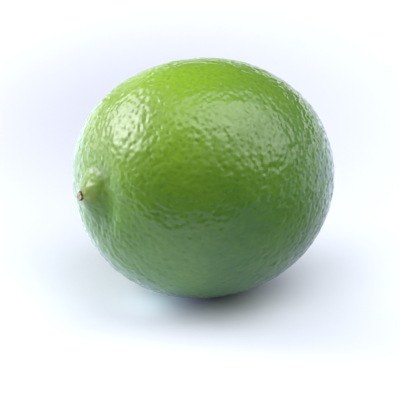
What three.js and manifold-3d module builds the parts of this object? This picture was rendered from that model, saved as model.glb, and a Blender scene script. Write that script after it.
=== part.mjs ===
// A whole seedless lime as picked, lying on its side. Units are millimetres and +Z is up.
// The fruit's axis runs along X: the blossom end, with its nipple, points to -X and the stem end to +X.
// The fruit grew as one piece, so it is one closed solid.

import * as THREE from "three";
import { ConvexGeometry } from "three/addons/geometries/ConvexGeometry.js";
import { mergeVertices } from "three/addons/utils/BufferGeometryUtils.js";
import Module from "manifold-3d";

// Body: two half ovals that meet at the widest girth. A fullness of 2 is a true ellipse, more is blunter.
const girthRadius = 26;
const blossomHalf = 28.6;
const blossomFullness = 2.2;
const stemHalf = 28.8;
const stemFullness = 2.02;

// The cross-section is a slight oval with a slighter three-sided swell, both as shares of the radius.
const ovalShare = 0.016;
const ovalTurn = 0.35;
const swellShare = 0.008;
const swellTurn = 0.1;

// Blossom end: a blunt nipple, with the dry cup that the style left on its tip. The furrow round it is
// deepest towards -Y, a little below the level of the tip, and nearly gone on the other side.
const nippleHeight = 1.8;
const nippleSpread = 3.6;
const nippleBluntness = 2.4;
const furrowDepth = 0.65;
const furrowLean = 0.9;
const furrowTurn = -2.8;
const furrowRadius = 6.2;
const furrowSpread = 3.3;
const styleCupRadius = 0.9;
const styleCupDepth = 0.6;

// Stem end: a shallow basin, with the button that the stalk left in the middle of it.
const basinDepth = 1.3;
const basinSpread = 7.5;
const buttonRadius = 3.1;
const buttonLobes = 5;
const buttonLobeDepth = 0.5;
const buttonHeight = 0.75;
const stubRadius = 1.5;
const stubHeight = 1.35;
const rootDepth = 1.6;

// Faint pleats run out from the button.
const pleatCount = 8;
const pleatDepth = 0.14;
const pleatRadius = 6.5;
const pleatSpread = 2.8;

// Rind: oil glands, each a shallow pit, twice life size so that facets can hold them.
const glandCount = 1850;
const glandDepth = 0.17;
const glandCrowding = 0.14;
const glandScatter = 0.15;
const glandRise = 0.06;
const glandSeed = 20260;

// Rest: the fruit lies with its nipple a little raised, and its weight has pressed a small flat spot.
const axisTilt = THREE.MathUtils.degToRad(3);
const flatSpotRadius = 5.5;

const axis = new THREE.Vector3(-1, 0, 0);
const goldenAngle = Math.PI * (3 - Math.sqrt(5));

const bell = (distance, spread, bluntness = 2) => Math.exp(-((Math.abs(distance) / spread) ** bluntness));

// A small repeatable random source (mulberry32), giving numbers from 0 to 1.
function randomSource(seed) {
  let state = seed;
  return () => {
    state = (state + 0x6d2b79f5) | 0;
    let mixed = Math.imul(state ^ (state >>> 15), 1 | state);
    mixed = (mixed + Math.imul(mixed ^ (mixed >>> 7), 61 | mixed)) ^ mixed;
    return ((mixed ^ (mixed >>> 14)) >>> 0) / 4294967296;
  };
}

// The point of the skin in a direction from the fruit's middle, pressed in by sink.
function skinPoint(direction, sink = 0) {
  const along = direction.dot(axis);
  const across = Math.sqrt(Math.max(0, 1 - along * along));
  const turn = Math.atan2(direction.z, direction.y);
  const section =
    girthRadius *
    (1 + ovalShare * Math.cos(2 * (turn - ovalTurn)) + swellShare * Math.cos(3 * (turn - swellTurn)));
  const [half, fullness] = along > 0 ? [blossomHalf, blossomFullness] : [stemHalf, stemFullness];
  const radius =
    ((Math.abs(along) / half) ** fullness + (across / section) ** fullness) ** (-1 / fullness) - sink;
  const fromAxis = radius * across;
  const nipple = nippleHeight * bell(fromAxis, nippleSpread, nippleBluntness);
  const ownDepth = furrowDepth * (1 + furrowLean * Math.cos(turn - furrowTurn));
  const furrow = ownDepth * bell(fromAxis - furrowRadius, furrowSpread);
  const basin = basinDepth * bell(fromAxis, basinSpread);
  const pleats = pleatDepth * Math.cos(pleatCount * turn) * bell(fromAxis - pleatRadius, pleatSpread);
  const shift = along > 0 ? nipple - furrow : basin + pleats;
  return direction.clone().multiplyScalar(radius).addScaledVector(axis, shift);
}

// Gland centres on a golden-angle spiral from end to end, closer together towards both ends.
function glandDirections() {
  const random = randomSource(glandSeed);
  const spacing = Math.sqrt((4 * Math.PI) / glandCount);
  return Array.from({ length: glandCount }, (_, i) => {
    const even = Math.acos(1 - (2 * (i + 0.5)) / glandCount);
    const colatitude = even - glandCrowding * Math.sin(2 * even);
    const reach = glandScatter * spacing * (1 - 2 * glandCrowding * Math.cos(2 * even) ** 2);
    const ring = Math.sin(colatitude);
    const turn = i * goldenAngle;
    const scatter = () => (random() - 0.5) * 2 * reach;
    return new THREE.Vector3(
      -Math.cos(colatitude) + scatter(),
      ring * Math.cos(turn) + scatter(),
      ring * Math.sin(turn) + scatter(),
    ).normalize();
  });
}

// The rind: a cell for each gland, sunk in its middle, with its corners where three glands meet.
function rindGeometry() {
  const hull = new ConvexGeometry(glandDirections());
  hull.deleteAttribute("normal");
  const net = mergeVertices(hull, 1e-6);
  const centres = net.getAttribute("position");
  const corner = net.index.array;
  const random = randomSource(glandSeed + 1);

  const points = [];
  for (let i = 0; i < centres.count; i++) {
    const direction = new THREE.Vector3().fromBufferAttribute(centres, i).normalize();
    const fromAxis = girthRadius * Math.hypot(direction.y, direction.z);
    const fade = 1 - bell(fromAxis, basinSpread / 2);
    points.push(skinPoint(direction, glandDepth * (0.6 + 0.8 * random()) * fade));
  }
  const meeting = [];
  for (let t = 0; t < corner.length; t += 3) {
    const sum = new THREE.Vector3();
    for (let k = 0; k < 3; k++) {
      sum.add(new THREE.Vector3().fromBufferAttribute(centres, corner[t + k]));
    }
    meeting.push(points.length);
    points.push(skinPoint(sum.normalize(), -glandRise * random()));
  }

  const faceOnLeft = new Map();
  for (let t = 0; t < corner.length; t += 3) {
    for (let k = 0; k < 3; k++) {
      faceOnLeft.set(`${corner[t + k]} ${corner[t + ((k + 1) % 3)]}`, meeting[t / 3]);
    }
  }
  const index = [];
  for (const [edge, left] of faceOnLeft) {
    const [from, to] = edge.split(" ").map(Number);
    index.push(from, faceOnLeft.get(`${to} ${from}`), left);
  }
  return new THREE.BufferGeometry().setFromPoints(points).setIndex(index);
}

// A five-lobed calyx disc with the stub of the stalk on it, rooted in the basin.
function buttonParts() {
  const sides = 50;
  const outline = new THREE.Shape(
    Array.from({ length: sides }, (_, i) => {
      const turn = (i / sides) * 2 * Math.PI;
      const radius = buttonRadius + buttonLobeDepth * Math.cos(buttonLobes * turn);
      return new THREE.Vector2(radius * Math.cos(turn), radius * Math.sin(turn));
    }),
  );
  const bevel = 0.25;
  const calyx = new THREE.ExtrudeGeometry(outline, {
    depth: rootDepth + buttonHeight - 2 * bevel,
    bevelThickness: bevel,
    bevelSize: bevel,
    bevelOffset: -bevel,
    bevelSegments: 1,
  });
  calyx.translate(0, 0, bevel - rootDepth);
  const stub = new THREE.LatheGeometry(
    [
      new THREE.Vector2(0, -rootDepth / 2),
      new THREE.Vector2(stubRadius + 0.3, -rootDepth / 2),
      new THREE.Vector2(stubRadius, stubHeight - 0.15),
      new THREE.Vector2(stubRadius - 0.15, stubHeight),
      new THREE.Vector2(stubRadius * 0.5, stubHeight - 0.3),
      new THREE.Vector2(0, stubHeight - 0.35),
    ],
    20,
  );
  stub.rotateX(Math.PI / 2);
  return [calyx, stub];
}

// The cup on the nipple's tip: the shape that is cut away.
function styleCup() {
  const cup = new THREE.LatheGeometry(
    [
      new THREE.Vector2(0, -styleCupDepth),
      new THREE.Vector2(styleCupRadius * 0.6, -styleCupDepth * 0.9),
      new THREE.Vector2(styleCupRadius * 0.9, 0),
      new THREE.Vector2(styleCupRadius * 1.3, styleCupDepth),
      new THREE.Vector2(0, styleCupDepth),
    ],
    16,
  );
  cup.rotateX(Math.PI / 2);
  return cup;
}

// Turns a shape made along +Z so that it stands on one end of the fruit.
function onEnd(geometry, outward) {
  const tip = skinPoint(outward);
  const turned = new THREE.Quaternion().setFromUnitVectors(new THREE.Vector3(0, 0, 1), outward);
  return geometry.applyQuaternion(turned).translate(tip.x, tip.y, tip.z);
}

const wasm = await Module();
wasm.setup();

function solidOf(geometry) {
  const bare = geometry.clone();
  bare.deleteAttribute("normal");
  bare.deleteAttribute("uv");
  const merged = mergeVertices(bare, 1e-4);
  return new wasm.Manifold(
    new wasm.Mesh({
      numProp: 3,
      vertProperties: merged.getAttribute("position").array,
      triVerts: new Uint32Array(merged.index.array),
    }),
  );
}

function geometryOf(solid) {
  const mesh = solid.getMesh();
  const geometry = new THREE.BufferGeometry();
  geometry.setAttribute("position", new THREE.BufferAttribute(mesh.vertProperties, 3));
  geometry.setIndex(new THREE.BufferAttribute(mesh.triVerts, 1));
  return geometry;
}

// Lays the fruit down: tilts it, presses its lowest skin flat, and centres it over the origin.
function layDown(geometry) {
  geometry.rotateY(axisTilt);
  geometry.computeBoundingBox();
  const pressed = girthRadius - Math.sqrt(girthRadius ** 2 - flatSpotRadius ** 2);
  const floor = geometry.boundingBox.min.z + pressed;
  const places = geometry.getAttribute("position");
  for (let i = 0; i < places.count; i++) {
    places.setZ(i, Math.max(places.getZ(i), floor));
  }
  geometry.computeBoundingBox();
  const { min, max } = geometry.boundingBox;
  return geometry.translate(-(min.x + max.x) / 2, -(min.y + max.y) / 2, -floor);
}

function makeLime() {
  const stemward = axis.clone().negate();
  let fruit = solidOf(rindGeometry());
  for (const piece of buttonParts()) {
    fruit = fruit.add(solidOf(onEnd(piece, stemward)));
  }
  fruit = fruit.subtract(solidOf(onEnd(styleCup(), axis)));
  const geometry = layDown(geometryOf(fruit)).toNonIndexed();
  geometry.computeVertexNormals();
  const rind = new THREE.MeshStandardMaterial({ color: 0x6a9a2c, roughness: 0.38, metalness: 0 });
  const mesh = new THREE.Mesh(geometry, rind);
  mesh.name = "lime";
  return mesh;
}

const lime = new THREE.Group();
lime.add(makeLime());

export default lime;
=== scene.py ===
# A whole lime lying on its side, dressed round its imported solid: a waxed rind with true-size oil glands,
# the dry scar of the style at one end and the button of the stalk at the other. Lengths are in metres.

import math

import bpy
from mathutils import Matrix, Vector, noise


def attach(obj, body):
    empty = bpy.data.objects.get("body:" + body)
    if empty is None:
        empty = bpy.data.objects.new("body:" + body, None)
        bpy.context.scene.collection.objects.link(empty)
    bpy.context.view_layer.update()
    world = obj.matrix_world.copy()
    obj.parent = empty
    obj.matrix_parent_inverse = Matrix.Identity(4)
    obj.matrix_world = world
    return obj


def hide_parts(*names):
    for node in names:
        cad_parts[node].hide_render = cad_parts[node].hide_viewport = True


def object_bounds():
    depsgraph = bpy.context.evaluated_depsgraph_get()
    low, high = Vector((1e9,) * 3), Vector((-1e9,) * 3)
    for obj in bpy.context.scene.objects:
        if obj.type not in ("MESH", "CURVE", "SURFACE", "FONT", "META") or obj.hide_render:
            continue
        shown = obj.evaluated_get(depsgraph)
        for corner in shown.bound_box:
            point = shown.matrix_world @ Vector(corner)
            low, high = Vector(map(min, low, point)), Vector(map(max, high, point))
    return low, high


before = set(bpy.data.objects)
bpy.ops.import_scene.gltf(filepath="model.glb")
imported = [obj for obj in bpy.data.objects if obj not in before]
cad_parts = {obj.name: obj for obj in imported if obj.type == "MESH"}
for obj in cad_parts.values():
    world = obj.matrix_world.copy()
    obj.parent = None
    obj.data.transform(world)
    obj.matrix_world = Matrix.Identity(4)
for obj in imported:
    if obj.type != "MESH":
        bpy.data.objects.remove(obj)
cadLow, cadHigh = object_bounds()

mm = 0.001


class Field:
    # A value in a node tree, so that sums there are written as ordinary sums, in geometry and in shaders.
    def __init__(self, tree, socket):
        self.tree = tree
        self.socket = socket

    def math(self, operation, *values):
        node = self.tree.nodes.new("ShaderNodeMath")
        node.operation = operation
        for slot, value in zip(node.inputs, values):
            feed(self.tree, slot, value)
        return Field(self.tree, node.outputs[0])

    def __add__(self, other):
        return self.math("ADD", self, other)

    def __radd__(self, other):
        return self.math("ADD", other, self)

    def __sub__(self, other):
        return self.math("SUBTRACT", self, other)

    def __rsub__(self, other):
        return self.math("SUBTRACT", other, self)

    def __mul__(self, other):
        return self.math("MULTIPLY", self, other)

    def __rmul__(self, other):
        return self.math("MULTIPLY", other, self)

    def __truediv__(self, other):
        return self.math("DIVIDE", self, other)

    def __rtruediv__(self, other):
        return self.math("DIVIDE", other, self)

    def __pow__(self, other):
        return self.math("POWER", self, other)

    def __neg__(self):
        return self.math("MULTIPLY", self, -1.0)

    def __abs__(self):
        return self.math("ABSOLUTE", self)

    def __gt__(self, other):
        return self.math("GREATER_THAN", self, other)


def feed(tree, slot, value):
    if isinstance(value, Field):
        value = value.socket
    if isinstance(value, bpy.types.NodeSocket):
        tree.links.new(value, slot)
    else:
        slot.default_value = value


def addNode(tree, kind, settings=None, **inputs):
    # Inputs are given by their socket's name, with an underscore for each space.
    node = tree.nodes.new(kind)
    for key, value in (settings or {}).items():
        setattr(node, key, value)
    for key, value in inputs.items():
        feed(tree, node.inputs[key.replace("_", " ")], value)
    return node


def splitVector(tree, vector):
    node = addNode(tree, "ShaderNodeSeparateXYZ", Vector=vector)
    return [Field(tree, node.outputs[axis]) for axis in "XYZ"]


def joinVector(tree, x, y, z):
    return addNode(tree, "ShaderNodeCombineXYZ", X=x, Y=y, Z=z).outputs[0]


def vectorMath(tree, operation, first, second=None, **inputs):
    node = addNode(tree, "ShaderNodeVectorMath", {"operation": operation}, **inputs)
    feed(tree, node.inputs[0], first)
    if second is not None:
        feed(tree, node.inputs[1], second)
    return node.outputs[0]


def cosine(value):
    return value.math("COSINE", value)


def bell(distance, spread, bluntness=2.0):
    power = (abs(distance) / spread) ** bluntness
    return power.math("EXPONENT", -power)


def smoothStep(value, low, high):
    node = value.tree.nodes.new("ShaderNodeMapRange")
    node.interpolation_type = "SMOOTHSTEP"
    for slot, given in zip(node.inputs, (value, low, high)):
        feed(value.tree, slot, given)
    return Field(value.tree, node.outputs[0])


def noiseField(tree, place, scale, detail=1.0, output=0):
    # Output 0 is a plain value and output 1 has three, as a colour.
    node = addNode(tree, "ShaderNodeTexNoise", Vector=place, Scale=scale, Detail=detail)
    return Field(tree, node.outputs[output])


def newTree(name, kind, numbers=(), vectors=(), materials=()):
    tree = bpy.data.node_groups.new(name, kind)
    if kind == "GeometryNodeTree":
        tree.interface.new_socket("Geometry", in_out="OUTPUT", socket_type="NodeSocketGeometry")
    for names, socketType in ((numbers, "Float"), (vectors, "Vector"), (materials, "Material")):
        for title in names:
            tree.interface.new_socket(title, in_out="INPUT", socket_type="NodeSocket" + socketType)
    given = tree.nodes.new("NodeGroupInput")
    return tree, {s.name: Field(tree, s) for s in given.outputs if s.name}


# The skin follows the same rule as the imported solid, from the same sizes.
skin = {
    "Girth Radius": 26.0 * mm,
    "Oval Share": 0.016,
    "Oval Turn": 0.35,
    "Swell Share": 0.008,
    "Swell Turn": 0.1,
    "Blossom Half": 28.6 * mm,
    "Blossom Fullness": 2.2,
    "Stem Half": 28.8 * mm,
    "Stem Fullness": 2.02,
    "Nipple Height": 1.8 * mm,
    "Nipple Spread": 3.6 * mm,
    "Nipple Bluntness": 2.4,
    "Furrow Depth": 0.65 * mm,
    "Furrow Lean": 0.9,
    "Furrow Turn": -2.8,
    "Furrow Radius": 6.2 * mm,
    "Furrow Spread": 3.3 * mm,
    "Basin Depth": 1.3 * mm,
    "Basin Spread": 7.5 * mm,
    "Pleat Count": 8.0,
    "Pleat Depth": 0.14 * mm,
    "Pleat Radius": 6.5 * mm,
    "Pleat Spread": 2.8 * mm,
    "Axis Tilt": math.radians(3.0),
    "Floor": cadLow.z,
}
flatSpotRadius = 5.5 * mm

# The relief on it: slow lumps, pebbles like those of hammered metal, and a pit over each oil gland.
relief = {
    "Lump Height": 0.15 * mm,
    "Lump Scale": 85.0,
    "Bump Height": 0.12 * mm,
    "Bump Scale": 220.0,
    "Pebble Height": 0.41 * mm,
    "Pebble Scale": 580.0,
    "Gland Spacing": 1.1 * mm,
    "Gland Radius": 0.6 * mm,
    "Gland Floor Radius": 0.1 * mm,
    "Gland Depth": 0.12 * mm,
    "Gland Drift": 0.9 * mm,
    "Gland Least Share": 0.35,  # each gland's own share of the depth, from least to least plus range
    "Gland Share Range": 0.95,
}
gridSide = 125  # squares along each side of the cube that is blown up into the fruit
glandSeed = 7
glandTries = 4.0  # points tried for each square of the spacing, enough to fill the skin


def findMiddle():
    # The middle that the skin's rule starts from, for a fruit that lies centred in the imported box.
    places = []
    for degree in range(360):
        turn = math.radians(degree)
        oval = skin["Oval Share"] * math.cos(2 * (turn - skin["Oval Turn"]))
        swell = skin["Swell Share"] * math.cos(3 * (turn - skin["Swell Turn"]))
        section = skin["Girth Radius"] * (1 + oval + swell)
        places.append((section * math.cos(turn), section * math.sin(turn)))
    wide, tall = zip(*places)
    tip = (skin["Blossom Half"] + skin["Nipple Height"]) * math.cos(skin["Axis Tilt"])
    girth = skin["Girth Radius"]
    pressed = girth - math.sqrt(girth**2 - flatSpotRadius**2)
    side = (cadLow.y + cadHigh.y) / 2 - (min(wide) + max(wide)) / 2
    return Vector((cadLow.x + tip, side, cadLow.z - min(tall) - pressed))


middle = findMiddle()
layDown = Matrix.Translation(middle) @ Matrix.Rotation(skin["Axis Tilt"], 4, "Y")


def skinPlace(tree, size, direction):
    x, y, z = splitVector(tree, direction)
    along = -x
    across = (y * y + z * z) ** 0.5
    turn = z.math("ARCTAN2", z, y)
    oval = size["Oval Share"] * cosine(2.0 * (turn - size["Oval Turn"]))
    swell = size["Swell Share"] * cosine(3.0 * (turn - size["Swell Turn"]))
    section = size["Girth Radius"] * (1.0 + oval + swell)
    blossom = along > 0.0
    stem = 1.0 - blossom
    half = blossom * size["Blossom Half"] + stem * size["Stem Half"]
    fullness = blossom * size["Blossom Fullness"] + stem * size["Stem Fullness"]
    radius = ((abs(along) / half) ** fullness + (across / section) ** fullness) ** (-1.0 / fullness)
    fromAxis = radius * across
    nipple = size["Nipple Height"] * bell(fromAxis, size["Nipple Spread"], size["Nipple Bluntness"])
    ownDepth = size["Furrow Depth"] * (1.0 + size["Furrow Lean"] * cosine(turn - size["Furrow Turn"]))
    furrow = ownDepth * bell(fromAxis - size["Furrow Radius"], size["Furrow Spread"])
    basin = size["Basin Depth"] * bell(fromAxis, size["Basin Spread"])
    pleatBand = bell(fromAxis - size["Pleat Radius"], size["Pleat Spread"])
    pleats = size["Pleat Depth"] * cosine(size["Pleat Count"] * turn) * pleatBand
    shift = blossom * (nipple - furrow) + stem * (basin + pleats)
    return joinVector(tree, radius * x - shift, radius * y, radius * z)


def setPosition(tree, geometry, **places):
    return addNode(tree, "GeometryNodeSetPosition", Geometry=geometry, **places).outputs[0]


def raiseSkin(tree, geometry, height):
    normal = addNode(tree, "GeometryNodeInputNormal").outputs[0]
    return setPosition(tree, geometry, Offset=vectorMath(tree, "SCALE", normal, Scale=height))


def glandPits(tree, size, surface, here):
    # Points kept apart on the skin, each with a pit of its own strength, drawn out of round by a drift.
    glands = addNode(
        tree,
        "GeometryNodeDistributePointsOnFaces",
        {"distribute_method": "POISSON"},
        Mesh=surface,
        Distance_Min=size["Gland Spacing"],
        Density_Max=glandTries / (size["Gland Spacing"] * size["Gland Spacing"]),
        Seed=glandSeed,
    ).outputs["Points"]
    swirl = noiseField(tree, here, size["Pebble Scale"], output=1)
    drift = vectorMath(tree, "SUBTRACT", swirl, (0.5, 0.5, 0.5))
    drifted = vectorMath(tree, "ADD", here, vectorMath(tree, "SCALE", drift, Scale=size["Gland Drift"]))
    near = addNode(
        tree,
        "GeometryNodeProximity",
        {"target_element": "POINTS"},
        Geometry=glands,
        Sample_Position=drifted,
    )
    nearest = addNode(
        tree,
        "GeometryNodeSampleNearest",
        {"domain": "POINT"},
        Geometry=glands,
        Sample_Position=drifted,
    )
    chance = addNode(tree, "FunctionNodeRandomValue", {"data_type": "FLOAT"}, Seed=glandSeed)
    own = addNode(
        tree,
        "GeometryNodeSampleIndex",
        {"data_type": "FLOAT", "domain": "POINT"},
        Geometry=glands,
        Value=chance.outputs["Value"],
        Index=nearest.outputs["Index"],
    )
    strength = size["Gland Least Share"] + size["Gland Share Range"] * Field(tree, own.outputs[0])
    distance = Field(tree, near.outputs["Distance"])
    return (1.0 - smoothStep(distance, size["Gland Floor Radius"], size["Gland Radius"])) * strength


def makeRindTree():
    sizes = [*skin, *relief]
    tree, size = newTree("limeRind", "GeometryNodeTree", sizes, ("Middle",), ("Material",))
    cube = addNode(
        tree,
        "GeometryNodeMeshCube",
        Size=(2.0, 2.0, 2.0),
        Vertices_X=gridSide + 1,
        Vertices_Y=gridSide + 1,
        Vertices_Z=gridSide + 1,
    )
    here = addNode(tree, "GeometryNodeInputPosition").outputs[0]
    even = [axis.math("TANGENT", axis * (math.pi / 4)) for axis in splitVector(tree, here)]
    direction = vectorMath(tree, "NORMALIZE", joinVector(tree, *even))
    rind = setPosition(tree, cube.outputs["Mesh"], Position=skinPlace(tree, size, direction))

    slow = noiseField(tree, here, size["Lump Scale"]) - 0.5
    mid = noiseField(tree, here, size["Bump Scale"]) - 0.5
    fine = noiseField(tree, here, size["Pebble Scale"]) - 0.5
    height = slow * size["Lump Height"] + mid * size["Bump Height"] + fine * size["Pebble Height"]
    rind = raiseSkin(tree, rind, height)
    pits = glandPits(tree, size, rind, here)
    rind = addNode(
        tree,
        "GeometryNodeStoreNamedAttribute",
        {"data_type": "FLOAT", "domain": "POINT"},
        Geometry=rind,
        Name="gland",
        Value=pits,
    ).outputs[0]
    rind = raiseSkin(tree, rind, -pits * size["Gland Depth"])

    # The fruit is tilted and put in its place, and what would sink into the floor is pressed flat.
    tilted = addNode(
        tree,
        "ShaderNodeVectorRotate",
        {"rotation_type": "Y_AXIS"},
        Vector=here,
        Angle=size["Axis Tilt"],
    ).outputs[0]
    rind = setPosition(tree, rind, Position=vectorMath(tree, "ADD", tilted, size["Middle"]))
    x, y, z = splitVector(tree, here)
    rind = setPosition(tree, rind, Position=joinVector(tree, x, y, z.math("MAXIMUM", z, size["Floor"])))
    rind = addNode(tree, "GeometryNodeSetShadeSmooth", Geometry=rind).outputs[0]
    rind = addNode(tree, "GeometryNodeRealizeInstances", Geometry=rind).outputs[0]
    rind = addNode(tree, "GeometryNodeSetMaterial", Geometry=rind, Material=size["Material"]).outputs[0]
    addNode(tree, "NodeGroupOutput", Geometry=rind)
    return tree


def bakeTree(name, tree, values):
    # Runs a geometry tree on an empty mesh and keeps the result as a plain mesh.
    carrier = bpy.data.objects.new(name + "Carrier", bpy.data.meshes.new(name))
    bpy.context.scene.collection.objects.link(carrier)
    modifier = carrier.modifiers.new("shape", "NODES")
    modifier.node_group = tree
    for item in tree.interface.items_tree:
        if item.in_out == "INPUT":
            modifier[item.identifier] = values[item.name]
    evaluated = carrier.evaluated_get(bpy.context.evaluated_depsgraph_get())
    mesh = bpy.data.meshes.new_from_object(evaluated)
    bpy.data.objects.remove(carrier)
    piece = bpy.data.objects.new(name, mesh)
    bpy.context.scene.collection.objects.link(piece)
    return piece


def newMaterial(name):
    material = bpy.data.materials.new(name)
    material.use_nodes = True
    tree = material.node_tree
    return material, tree, tree.nodes["Principled BSDF"]


def mixColour(tree, factor, low, high):
    # A Mix node's colour sockets are inputs 6 and 7 and output 2.
    node = addNode(tree, "ShaderNodeMix", {"data_type": "RGBA"})
    feed(tree, node.inputs[0], factor)
    for slot, value in ((node.inputs[6], low), (node.inputs[7], high)):
        feed(tree, slot, (*value, 1.0) if isinstance(value, tuple) else value)
    return node.outputs[2]


def makeMottle():
    # Soft patches of a chosen size, as a mask from 0 to 1.
    tree, size = newTree("mottle", "ShaderNodeTree", ("Scale", "Detail", "Low", "High"), ("Vector",))
    tree.interface.new_socket("Mask", in_out="OUTPUT", socket_type="NodeSocketFloat")
    patches = noiseField(tree, size["Vector"], size["Scale"], size["Detail"])
    addNode(tree, "NodeGroupOutput", Mask=smoothStep(patches, size["Low"], size["High"]))
    return tree


mottleGroup = makeMottle()


def mottle(tree, vector, scale, detail, low, high):
    inputs = {"Vector": vector, "Scale": scale, "Detail": detail, "Low": low, "High": high}
    node = addNode(tree, "ShaderNodeGroup", {"node_tree": mottleGroup}, **inputs)
    return Field(tree, node.outputs["Mask"])


rindLook = {
    "deepGreen": (0.048, 0.166, 0.010),
    "yellowGreen": (0.372, 0.632, 0.004),
    "glandGreen": (0.060, 0.140, 0.010),
    "netGreen": (0.215, 0.360, 0.030),
    "nippleOlive": (0.175, 0.120, 0.022),
    "ripeAndLitMiddle": (-22.5 * mm, 12 * mm, 33 * mm),  # the top left, where the green is lightest: partly its own sunny side, partly painted light
    "ripeAndLitReach": (-29 * mm, 72 * mm),
    "patches": {"scale": 45.0, "detail": 2.0, "low": 0.3, "high": 0.7},
    "patchShare": 0.14,
    "speckles": {"scale": 420.0, "detail": 3.0, "low": 0.45, "high": 0.75},
    "speckleShare": (0.1, 0.35),  # on deep green, and how much more on the ripe and painted-light side
    "glandShare": 0.2,
    "oliveReach": (0.8 * mm, 4.2 * mm),
    "oliveShare": (0.12, 0.4),  # all round the scar, and how much more in patches
    "tints": [  # soft spots of another green, painted shade, light and reflection among them, as marked: middle, reach, share and colour
        # painted shade in the furrow below the nipple
        ((-27.7 * mm, -3.5 * mm, -4.2 * mm), 6.2 * mm, 0.65, (0.038, 0.128, 0.010)),
        # painted shade on the furrow's right wall, over a bright crease
        ((-26.5 * mm, -9.4 * mm, 2.6 * mm), 3.2 * mm, 0.3, (0.038, 0.128, 0.010)),
        ((-26 * mm, 3 * mm, 13 * mm), 7 * mm, 0.3, (0.160, 0.260, 0.030)),
        # painted reflection: a dull grey green where the softbox's highlight lies
        ((-20 * mm, -2.5 * mm, 19 * mm), 8 * mm, 0.45, (0.130, 0.165, 0.080)),
        # painted light on the nipple's face beside the scar
        ((-29.4 * mm, -2.4 * mm, 2.8 * mm), 1.7 * mm, 0.45, (0.380, 0.460, 0.160)),
        # painted shade on the nipple's flank right of it
        ((-27.1 * mm, -3.6 * mm, 6 * mm), 2.2 * mm, 0.4, (0.070, 0.130, 0.012)),
        # painted shade on the nipple's flank that faces the camera
        ((-27.7 * mm, -4.3 * mm, 2.6 * mm), 2.2 * mm, 0.45, (0.050, 0.110, 0.006)),
        # painted shade below the nipple
        ((-28.3 * mm, 0.6 * mm, -2.7 * mm), 2.6 * mm, 0.4, (0.038, 0.128, 0.010)),
    ],
    "paintedHighlights": [  # painted highlight and light on the nipple: pale spots, broken up by the speckles, given as the tints are
        # painted highlight: the softbox's glints above the nipple
        ((-27.4 * mm, -0.6 * mm, 7 * mm), 2 * mm, 1.4, (0.550, 0.600, 0.450)),
        # painted light on the nipple's face beside the scar
        ((-29.2 * mm, -2.2 * mm, 2.9 * mm), 2 * mm, 0.9, (0.480, 0.540, 0.260)),
    ],
    "roughness": (0.42, 0.1),  # of the skin under the wax, and how much more on speckles
    "grainScale": 1500.0,
    "grainDetail": 3.0,
    "grainHeight": 0.07 * mm,
    "refraction": 1.45,
    "innerGloss": 0.25,
    "waxRoughness": 0.14,
    "unwaxed": [  # round the nipple, where the wax is thinner: middle, reach and share
        ((-27.3 * mm, -6.8 * mm, -2.5 * mm), 7.5 * mm, 0.6),
        ((-28.3 * mm, 0.8 * mm, -2.7 * mm), 3.2 * mm, 0.6),
        ((-26.7 * mm, -7.5 * mm, 0.3 * mm), 2.6 * mm, 0.35),
    ],
}


def distanceTo(tree, place, spot):
    # How far a place on the rind is from a spot given from the fruit's middle.
    away = vectorMath(tree, "SUBTRACT", place, tuple(middle + Vector(spot)))
    length = addNode(tree, "ShaderNodeVectorMath", {"operation": "LENGTH"}, Vector=away)
    return Field(tree, length.outputs["Value"])


def makeRindMaterial():
    material, tree, surface = newMaterial("waxedRind")
    place = addNode(tree, "ShaderNodeTexCoord").outputs["Object"]
    gland = Field(tree, addNode(tree, "ShaderNodeAttribute", {"attribute_name": "gland"}).outputs["Fac"])
    # Painted light: the green turns lighter and yellower towards the lit top left, partly the rind's own
    # sunny side.
    ripeAndLit = 1.0 - smoothStep(distanceTo(tree, place, rindLook["ripeAndLitMiddle"]), *rindLook["ripeAndLitReach"])
    patches = mottle(tree, place, **rindLook["patches"])
    speckles = mottle(tree, place, **rindLook["speckles"])
    shade = ripeAndLit + (patches - 0.5) * rindLook["patchShare"]
    colour = mixColour(tree, shade, rindLook["deepGreen"], rindLook["yellowGreen"])
    least, more = rindLook["speckleShare"]
    colour = mixColour(tree, speckles * (least + more * ripeAndLit), colour, rindLook["netGreen"])
    colour = mixColour(tree, gland * rindLook["glandShare"], colour, rindLook["glandGreen"])

    # Round the style's scar the green turns olive brown.
    tip = layDown @ Vector((-skin["Blossom Half"] - skin["Nipple Height"], 0.0, 0.0))
    olive = 1.0 - smoothStep(distanceTo(tree, place, tip - middle), *rindLook["oliveReach"])
    least, more = rindLook["oliveShare"]
    colour = mixColour(tree, olive * (least + more * patches), colour, rindLook["nippleOlive"])
    # Soft spots of other greens, most of them painted shade, light and reflection round the nipple and in
    # the softbox's highlight.
    for spot, reach, share, tint in rindLook["tints"]:
        colour = mixColour(tree, share * bell(distanceTo(tree, place, spot), reach), colour, tint)
    # Painted highlight and light: pale spots on the nipple, broken up by the speckles.
    for spot, reach, share, tint in rindLook["paintedHighlights"]:
        broken = share * speckles * bell(distanceTo(tree, place, spot), reach)
        colour = mixColour(tree, broken, colour, tint)
    feed(tree, surface.inputs["Base Color"], colour)

    least, more = rindLook["roughness"]
    feed(tree, surface.inputs["Roughness"], least + more * speckles)
    grain = noiseField(tree, place, rindLook["grainScale"], rindLook["grainDetail"])
    bump = addNode(tree, "ShaderNodeBump", Strength=1.0, Distance=rindLook["grainHeight"], Height=grain)
    feed(tree, surface.inputs["Normal"], bump.outputs[0])
    surface.inputs["IOR"].default_value = rindLook["refraction"]
    surface.inputs["Specular IOR Level"].default_value = rindLook["innerGloss"]
    wax = 1.0
    for spot, reach, share in rindLook["unwaxed"]:
        wax = wax - share * bell(distanceTo(tree, place, spot), reach)
    feed(tree, surface.inputs["Coat Weight"], wax)
    surface.inputs["Coat Roughness"].default_value = rindLook["waxRoughness"]
    return material


def dress(piece):
    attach(piece, "root")
    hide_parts("lime")


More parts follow.
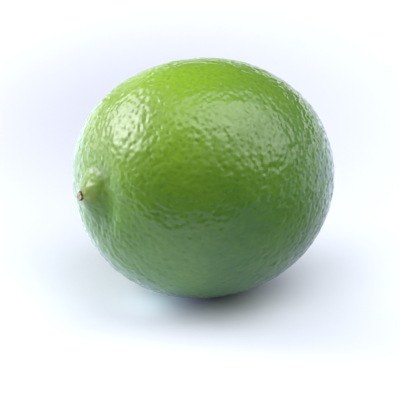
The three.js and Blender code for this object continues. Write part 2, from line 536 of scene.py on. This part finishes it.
rindValues = {**skin, **relief, "Middle": tuple(middle), "Material": makeRindMaterial()}
rind = bakeTree("rind", makeRindTree(), rindValues)
dress(rind)
print("rind:", len(rind.data.vertices), "points,", len(rind.data.polygons), "faces")


def turnedPiece(name, profile, sides, shape, end, material):
    # A closed dry piece turned round one end's axis. The profile has (radius, height) from pole to pole,
    # and shape gives each point its own radius and height.
    points = [(0.0, 0.0, profile[0][1])]
    for radius, height in profile[1:-1]:
        for side in range(sides):
            turn = side / sides * 2 * math.pi
            own, raised = shape(radius, height, turn)
            points.append((own * math.cos(turn), own * math.sin(turn), raised))
    points.append((0.0, 0.0, profile[-1][1]))
    rings = len(profile) - 2
    last = len(points) - 1
    faces = []
    for side in range(sides):
        after = (side + 1) % sides
        faces.append((0, 1 + after, 1 + side))
        for ring in range(rings - 1):
            low = 1 + ring * sides
            high = low + sides
            faces.append((low + side, low + after, high + after, high + side))
        top = 1 + (rings - 1) * sides
        faces.append((top + side, top + after, last))
    mesh = bpy.data.meshes.new(name)
    mesh.from_pydata([tuple(end @ Vector(point)) for point in points], [], faces)
    mesh.polygons.foreach_set("use_smooth", [True] * len(faces))
    mesh.materials.append(material)
    piece = bpy.data.objects.new(name, mesh)
    bpy.context.scene.collection.objects.link(piece)
    dress(piece)
    print(name + ":", len(faces), "faces")
    return piece


def refine(profile, steps):
    # Splits each stretch of a profile into equal steps.
    fine = []
    for (r0, h0), (r1, h1) in zip(profile, profile[1:]):
        for step in range(steps):
            share = step / steps
            fine.append((r0 + (r1 - r0) * share, h0 + (h1 - h0) * share))
    return fine + [profile[-1]]


def smoothProfile(profile, steps):
    # The same profile with its corners rounded.
    fine = refine(profile, steps)
    for _ in range(steps):
        inner = [
            ((a[0] + 2 * b[0] + c[0]) / 4, (a[1] + 2 * b[1] + c[1]) / 4)
            for a, b, c in zip(fine, fine[1:], fine[2:])
        ]
        fine = [fine[0], *inner, fine[-1]]
    return fine


profileSteps = 4  # parts that each stretch of a profile is split into

styleScar = {
    "profile": [
        (0.0, -0.8 * mm),
        (0.8 * mm, -0.8 * mm),
        (1.05 * mm, -0.3 * mm),
        (0.98 * mm, 0.2 * mm),
        (0.9 * mm, 0.38 * mm),
        (0.76 * mm, 0.34 * mm),
        (0.62 * mm, 0.16 * mm),
        (0.3 * mm, 0.15 * mm),
        (0.0, 0.2 * mm),
    ],
    "sides": 72,
    "offAxis": 0.6 * mm,
    "ragScale": 0.45 * mm,
    "ragSeed": 3.0,
    "ragAcross": 0.096 * mm,
    "ragUp": 0.32 * mm,
    "crestRadius": 1.0 * mm,  # where the rag lifts the rim most, and how far from there it still does
    "crestReach": 0.45 * mm,
    "darkBrown": (0.150, 0.075, 0.035),
    "paleTan": (0.72, 0.60, 0.41),
    "crackBrown": (0.07, 0.035, 0.02),
    "crackScale": 2600.0,
    "paleWithin": 0.98 * mm,
    "paleFade": 0.25 * mm,
}

calyxButton = {
    "profile": [
        (0.0, -1.6 * mm),
        (2.5 * mm, -1.6 * mm),
        (3.0 * mm, -0.6 * mm),
        (3.15 * mm, 0.25 * mm),
        (2.85 * mm, 0.7 * mm),
        (1.95 * mm, 0.6 * mm),
        (1.6 * mm, 0.75 * mm),
        (1.5 * mm, 1.25 * mm),
        (1.3 * mm, 1.38 * mm),
        (0.9 * mm, 1.1 * mm),
        (0.3 * mm, 1.12 * mm),
        (0.0, 1.0 * mm),
    ],
    "sides": 150,
    "stubRadius": 1.7 * mm,  # where the calyx's lobes begin
    "lobeStart": 0.9 * mm,  # how much further out they are whole
    "lobes": 5,
    "lobeDepth": 0.55 * mm,
    "lobeReach": 2.3,  # from a notch to a tip, in depths
    "lobeNotch": 1.3,  # how far in a notch is, in depths
    "lobePoint": 0.8,
    "unevenShare": 0.5,
    "unevenScale": 1.3,
    "unevenSeed": 4.0,
    "ribsInLobe": 5,
    "ribHeight": 0.06 * mm,
    "fibres": 19,
    "fibreDepth": 0.05 * mm,
    "droop": 0.3 * mm,
    "ragScale": 0.7 * mm,
    "ragSeed": 8.0,
    "ragAcross": 0.2 * mm,
    "ragUp": 0.16 * mm,
    "dryGreen": (0.135, 0.150, 0.045),
    "dryBrown": (0.160, 0.095, 0.045),
    "woodTan": (0.430, 0.330, 0.190),
    "crackScale": 1500.0,
    "paleWithin": 1.5 * mm,
    "paleFade": 0.6 * mm,
}

cork = {
    "crackDetail": 4.0,
    "crackRange": (0.4, 0.62),
    "crackShare": 0.6,
    "crackDepth": 0.08 * mm,
    "crackStrength": 0.8,
    "roughness": (0.6, 0.25),  # in the cracks, and how much more between them
}


def ragged(facts, radius, height, turn):
    place = Vector((radius * math.cos(turn), radius * math.sin(turn), height)) / facts["ragScale"]
    seed = facts["ragSeed"]
    return noise.noise(place + Vector((seed, seed, seed)))


def scarShape(radius, height, turn):
    wild = ragged(styleScar, radius, height, turn)
    crest = max(0.0, 1 - abs(radius - styleScar["crestRadius"]) / styleScar["crestReach"])
    return radius + styleScar["ragAcross"] * wild, height + styleScar["ragUp"] * wild * crest


def buttonShape(radius, height, turn):
    # Five lobes of uneven length, ribbed along their middles, whose tips bend down to the skin.
    facts = calyxButton
    onCalyx = min(1.0, max(0.0, (radius - facts["stubRadius"]) / facts["lobeStart"]))
    petal = abs(math.cos(facts["lobes"] * turn / 2))
    place = Vector((math.cos(turn), math.sin(turn), facts["unevenSeed"])) * facts["unevenScale"]
    uneven = 1 + facts["unevenShare"] * noise.noise(place)
    out = facts["lobeReach"] * petal ** facts["lobePoint"] - facts["lobeNotch"]
    lobe = facts["lobeDepth"] * out * uneven * onCalyx
    wild = ragged(facts, radius, height, turn)
    ribs = facts["ribHeight"] * math.cos(facts["ribsInLobe"] * facts["lobes"] * turn) * onCalyx
    fibres = facts["fibreDepth"] * math.cos(facts["fibres"] * turn) * (1 - onCalyx)
    droop = facts["droop"] * petal * onCalyx**2 if height > 0 else 0.0
    own = radius + lobe + facts["ragAcross"] * wild + fibres
    return own, height + facts["ragUp"] * wild + ribs - droop


def makeDryMaterial(name, low, high, dark, scale):
    # Corky tissue: two colours by distance from the axis, darkened in fine cracks.
    material, tree, surface = newMaterial(name)
    place = addNode(tree, "ShaderNodeTexCoord").outputs["Object"]
    shade = Field(tree, addNode(tree, "ShaderNodeAttribute", {"attribute_name": "shade"}).outputs["Fac"])
    whole = mottle(tree, place, scale, cork["crackDetail"], *cork["crackRange"])
    colour = mixColour(tree, shade, low, high)
    colour = mixColour(tree, (1.0 - whole) * cork["crackShare"], colour, dark)
    feed(tree, surface.inputs["Base Color"], colour)
    least, more = cork["roughness"]
    feed(tree, surface.inputs["Roughness"], least + more * whole)
    depth = cork["crackDepth"]
    bump = addNode(tree, "ShaderNodeBump", Strength=cork["crackStrength"], Distance=depth, Height=whole)
    feed(tree, surface.inputs["Normal"], bump.outputs[0])
    return material


def setShade(piece, end, facts):
    # A value at each point, from 1 near the axis to 0 at the pale part's edge.
    shade = piece.data.attributes.new("shade", "FLOAT", "POINT")
    back = end.inverted()
    for point, entry in zip(piece.data.vertices, shade.data):
        place = back @ point.co
        inside = facts["paleWithin"] - math.hypot(place.x, place.y)
        entry.value = min(1.0, max(0.0, inside / facts["paleFade"]))


def onEnd(alongAxis, outward, offAxis=0.0):
    # A frame whose Z axis points out of one end of the fruit.
    turned = Vector((0, 0, 1)).rotation_difference(Vector((outward, 0, 0))).to_matrix().to_4x4()
    return layDown @ Matrix.Translation((outward * alongAxis, offAxis, 0)) @ turned


def makeStyleScar():
    end = onEnd(skin["Blossom Half"] + skin["Nipple Height"], -1, styleScar["offAxis"])
    profile = smoothProfile(styleScar["profile"], profileSteps)
    colours = (styleScar["darkBrown"], styleScar["paleTan"], styleScar["crackBrown"])
    material = makeDryMaterial("styleCork", *colours, styleScar["crackScale"])
    scar = turnedPiece("styleScar", profile, styleScar["sides"], scarShape, end, material)
    setShade(scar, end, styleScar)


def makeCalyxButton():
    end = onEnd(skin["Stem Half"] - skin["Basin Depth"], 1)
    profile = smoothProfile(calyxButton["profile"], profileSteps)
    colours = (calyxButton["dryGreen"], calyxButton["woodTan"], calyxButton["dryBrown"])
    material = makeDryMaterial("calyxCork", *colours, calyxButton["crackScale"])
    button = turnedPiece("calyxButton", profile, calyxButton["sides"], buttonShape, end, material)
    setShade(button, end, calyxButton)


makeStyleScar()
makeCalyxButton()


# The view: in front of the fruit's left end and looking down on it.
view = {
    "azimuth": -31.5,
    "elevation": 22.0,
    "distance": 430 * mm,
    "focalPixels": 1980.0,
    "imageSide": 400,
    "fruitAtX": 205.1,  # the fruit's middle in the render, in pixels
    "fruitAtY": 176.4,
    "sensorWidth": 36.0,  # in millimetres, as Blender takes it
    "clip": (10 * mm, 20.0),
}


def viewAxes(azimuth, elevation):
    turn = math.radians(azimuth)
    rise = math.radians(elevation)
    level = math.cos(rise)
    back = Vector((math.sin(turn) * level, -math.cos(turn) * level, math.sin(rise)))
    right = Vector((math.cos(turn), math.sin(turn), 0.0))
    return right, back.cross(right), back


def facing(place, azimuth, elevation):
    right, up, back = viewAxes(azimuth, elevation)
    return Matrix.Translation(place) @ Matrix((right, up, back)).transposed().to_4x4()


def makeCamera():
    right, up, back = viewAxes(view["azimuth"], view["elevation"])
    scale = view["distance"] / view["focalPixels"]
    half = view["imageSide"] / 2
    target = middle - right * (view["fruitAtX"] - half) * scale + up * (view["fruitAtY"] - half) * scale
    data = bpy.data.cameras.new("camera")
    data.sensor_width = view["sensorWidth"]
    data.lens = data.sensor_width * view["focalPixels"] / view["imageSide"]
    data.clip_start, data.clip_end = view["clip"]
    camera = bpy.data.objects.new("camera", data)
    camera.matrix_world = facing(target + back * view["distance"], view["azimuth"], view["elevation"])
    bpy.context.scene.collection.objects.link(camera)
    bpy.context.scene.camera = camera


# The studio: a softbox behind the left, a wide panel over the right, one overhead, low strips near the
# table, and a dim room. Each lamp's azimuth is counted from the camera's, to the right.
studio = {
    "lamps": {
        "softbox": {
            "azimuth": -116,
            "elevation": 37.5,
            "distance": 0.42,
            "size": (0.43, 0.31),
            "core": 0.4,
            "radiance": 4.2,
            "colour": (0.95, 0.94, 1.0),
        },
        "softboxLow": {
            "azimuth": -98,
            "elevation": 33,
            "distance": 0.42,
            "size": (0.36, 0.34),
            "core": 0.2,
            "radiance": 2.35,
        },
        "softboxSide": {
            "azimuth": -85,
            "elevation": 38,
            "distance": 0.42,
            "size": (0.32, 0.32),
            "core": 0.3,
            "radiance": 3.3,
        },
        "leftWash": {
            "azimuth": -95,
            "elevation": 38,
            "distance": 0.42,
            "size": (0.95, 0.75),
            "core": 0.1,
            "radiance": 0.82,
        },
        "panel": {
            "azimuth": 86,
            "elevation": 50,
            "distance": 0.9,
            "size": (1.3, 1.0),
            "core": 0.3,
            "radiance": 1.51,
        },
        "panelTop": {
            "azimuth": 80,
            "elevation": 68,
            "distance": 0.9,
            "size": (1.1, 0.8),
            "core": 0.3,
            "radiance": 1.79,
        },
        "panelLow": {
            "azimuth": 84,
            "elevation": 28,
            "distance": 0.9,
            "size": (0.9, 0.6),
            "core": 0.3,
            "radiance": 2.13,
        },
        "panelBack": {
            "azimuth": 112,
            "elevation": 52,
            "distance": 0.9,
            "size": (0.8, 0.8),
            "core": 0.3,
            "radiance": 0.42,
        },
        "rightWash": {
            "azimuth": 85,
            "elevation": 50,
            "distance": 0.9,
            "size": (2.2, 1.8),
            "core": 0.1,
            "radiance": 0.32,
        },
        "overhead": {
            "azimuth": 0,
            "elevation": 88,
            "distance": 0.9,
            "size": (0.8, 0.8),
            "core": 0.3,
            "radiance": 2.18,
        },
        "frontFill": {
            "azimuth": 22,
            "elevation": 48,
            "distance": 0.9,
            "size": (1.0, 0.7),
            "core": 0.1,
            "radiance": 0.38,
        },
        "backPanel": {
            "azimuth": -162,
            "elevation": 15,
            "distance": 0.9,
            "size": (0.38, 0.3),
            "core": 0.2,
            "radiance": 0.75,
        },
        "leftStrip": {
            "azimuth": -115,
            "elevation": 5.5,
            "distance": 0.37,
            "size": (0.8, 0.07),
            "core": 0.6,
            "radiance": 2.35,
        },
        "backStrip": {
            "azimuth": 180,
            "elevation": 6,
            "distance": 0.44,
            "size": (0.45, 0.09),
            "core": 0.5,
            "radiance": 1.12,
        },
        "rightStrip": {
            "azimuth": 127,
            "elevation": 5.5,
            "distance": 0.37,
            "size": (0.7, 0.08),
            "core": 0.3,
            "radiance": 1.79,
        },
    },
    "roomColour": (0.92, 0.96, 1.0),
    "roomStrength": 0.123,
    "backgroundColour": (1.0, 1.0, 1.0),
    "tableFront": 170 * mm,
    "tableReach": 900 * mm,
    "tableColour": (0.795, 0.84, 0.893),  # as the camera sees it
    "tableBounce": (0.66, 0.72, 0.89),  # what the table gives back to the fruit
    "tableRoughness": 0.6,
    "tableGloss": 0.2,
    "bands": [  # painted shade and light in what the table gives back: how much dimmer or brighter across the table: front, reach and gain
        (25 * mm, 38 * mm, -0.42),
        (160 * mm, 70 * mm, -0.6),
        (-260 * mm, 190 * mm, 0.5),
    ],
    "spots": [  # the same painted shade and light for round spots: right, front, reach and gain
        (-52 * mm, -8 * mm, 42 * mm, 0.75),
        (-12 * mm, 24 * mm, 40 * mm, 0.46),
        (100 * mm, 38 * mm, 54 * mm, -0.75),
        (-165 * mm, 85 * mm, 70 * mm, 0.6),
        (-110 * mm, 8 * mm, 38 * mm, -0.75),
    ],
    # painted light: a faint glow given off by the whole table, though it is no lamp
    "paintedTableGlow": 0.068,
    "paintedGlowColour": (0.9, 0.75, 1.6),
    "paintedGapLightColour": (0.93, 1.24, 1.7),
    "paintedContactShadow": (6 * mm, 9 * mm, 11 * mm),  # painted contact shadow, where the glow is taken away under the fruit: right, front and reach
    "paintedContactShadowGain": -0.95,
    "paintedGapLight": (-10 * mm, 10 * mm, 7 * mm),  # painted light under the fruit's left side, where the glow is raised
    "paintedGapLightGain": 2.2,
    "paintedShades": [  # painted shadow and light on the table as seen, in soft ovals: right, front, width, depth and gain
        (-18 * mm, -105 * mm, 85 * mm, 120 * mm, -0.42),
        (42 * mm, 8 * mm, 32 * mm, 22 * mm, 0.18),
        (-28 * mm, 8 * mm, 26 * mm, 20 * mm, 0.16),
        (9 * mm, 0 * mm, 9 * mm, 7 * mm, -0.25),
        (-8 * mm, 13 * mm, 8 * mm, 6 * mm, 0.28),
        (13 * mm, 15 * mm, 9 * mm, 6 * mm, 0.12),
        (-25 * mm, 23 * mm, 18 * mm, 9 * mm, -0.08),
        (7 * mm, 12 * mm, 6 * mm, 4 * mm, -0.16),
        (3 * mm, 32 * mm, 26 * mm, 6 * mm, -0.06),
        (44 * mm, 0 * mm, 12 * mm, 26 * mm, 0.12),
    ],
}


def feather(data, core):
    # A lamp as bright as its radiance in its core, which fades out towards its round-cornered edge.
    data.use_nodes = True
    tree = data.node_tree
    across = addNode(tree, "ShaderNodeNewGeometry").outputs["Parametric"]
    x, y, _ = splitVector(tree, vectorMath(tree, "SUBTRACT", across, (0.5, 0.5, 0.0)))
    fromCentre = 2.0 * (x**4 + y**4) ** 0.25
    feed(tree, tree.nodes["Emission"].inputs["Strength"], 1.0 - smoothStep(fromCentre, core, 1.0))


def makeLight(name):
    facts = studio["lamps"][name]
    azimuth = view["azimuth"] + facts["azimuth"]
    back = viewAxes(azimuth, facts["elevation"])[2]
    data = bpy.data.lights.new(name, "AREA")
    data.shape = "RECTANGLE"
    data.size, data.size_y = facts["size"]
    data.energy = facts["radiance"] * math.pi * data.size * data.size_y
    data.color = facts.get("colour", (1.0, 1.0, 1.0))
    feather(data, facts["core"])
    lamp = bpy.data.objects.new(name, data)
    lamp.matrix_world = facing(middle + back * facts["distance"], azimuth, facts["elevation"])
    lamp.visible_camera = False
    bpy.context.scene.collection.objects.link(lamp)


def makeRoom():
    world = bpy.data.worlds.new("room")
    world.use_nodes = True
    tree = world.node_tree
    dim = tree.nodes["Background"]
    dim.inputs["Color"].default_value = (*studio["roomColour"], 1.0)
    dim.inputs["Strength"].default_value = studio["roomStrength"]
    plain = addNode(tree, "ShaderNodeBackground", Color=(*studio["backgroundColour"], 1.0))
    path = addNode(tree, "ShaderNodeLightPath")
    mix = tree.nodes.new("ShaderNodeMixShader")
    feed(tree, mix.inputs[0], path.outputs["Is Camera Ray"])
    feed(tree, mix.inputs[1], dim.outputs[0])
    feed(tree, mix.inputs[2], plain.outputs[0])
    feed(tree, tree.nodes["World Output"].inputs["Surface"], mix.outputs[0])
    bpy.context.scene.world = world


def tableSides(tree, place, right, back):
    # A place on the table, counted to the right and to the front as the camera sees it.
    sides = []
    for way in (right, back):
        dot = addNode(tree, "ShaderNodeVectorMath", {"operation": "DOT_PRODUCT"})
        feed(tree, dot.inputs[0], place)
        feed(tree, dot.inputs[1], tuple(way))
        sides.append(Field(tree, dot.outputs["Value"]))
    return sides


def makeTableMesh():
    right, _, back = viewAxes(view["azimuth"], 0.0)
    side = right * studio["tableReach"]
    front = back * studio["tableFront"]
    rear = -back * studio["tableReach"]
    corners = [front - side, front + side, rear + side, rear - side]
    mesh = bpy.data.meshes.new("table")
    mesh.from_pydata([tuple(corner) for corner in corners], [], [(0, 1, 2, 3)])
    return mesh, right, back


def makeTable():
    mesh, right, back = makeTableMesh()
    table = bpy.data.objects.new("table", mesh)
    bpy.context.scene.collection.objects.link(table)
    material, tree, surface = newMaterial("paleTable")
    seen = addNode(tree, "ShaderNodeLightPath").outputs["Is Camera Ray"]
    place = addNode(tree, "ShaderNodeTexCoord").outputs["Object"]
    across, along = tableSides(tree, place, right, back)

    def near(x, y, reach):
        return bell(((across - x) ** 2.0 + (along - y) ** 2.0) ** 0.5, reach)

    # Painted shade and light in what the table gives back to the fruit, in bands and round spots.
    share = 1.0
    for y, reach, gain in studio["bands"]:
        share = share + gain * bell(along - y, reach)
    for *spot, gain in studio["spots"]:
        share = share + gain * near(*spot)
    bounce = vectorMath(tree, "SCALE", studio["tableBounce"], Scale=share)
    # Painted shadow and light on the table as the camera sees it, in soft ovals.
    shade = 1.0
    for x, y, wide, deep, gain in studio["paintedShades"]:
        oval = (((across - x) / wide) ** 2.0 + ((along - y) / deep) ** 2.0) ** 0.5
        shade = shade + gain * bell(oval, 1.0)
    plain = vectorMath(tree, "SCALE", studio["tableColour"], Scale=shade)
    feed(tree, surface.inputs["Base Color"], mixColour(tree, seen, bounce, plain))
    surface.inputs["Roughness"].default_value = studio["tableRoughness"]
    surface.inputs["Specular IOR Level"].default_value = studio["tableGloss"]

    # Painted light and shadow: the table glows, less where the fruit touches it and more under its left
    # side.
    paintedContactShadow = near(*studio["paintedContactShadow"])
    paintedGapLight = near(*studio["paintedGapLight"])
    paintedGlow = 1.0 + studio["paintedContactShadowGain"] * paintedContactShadow + studio["paintedGapLightGain"] * paintedGapLight
    tint = mixColour(tree, paintedGapLight, studio["paintedGlowColour"], studio["paintedGapLightColour"])
    feed(tree, surface.inputs["Emission Color"], tint)
    feed(tree, surface.inputs["Emission Strength"], studio["paintedTableGlow"] * paintedGlow)
    mesh.materials.append(material)


makeCamera()
for name in studio["lamps"]:
    makeLight(name)
makeRoom()
makeTable()
bpy.context.scene.view_settings.view_transform = "Standard"
print("studio: camera,", len(studio["lamps"]), "lamps, room and table")
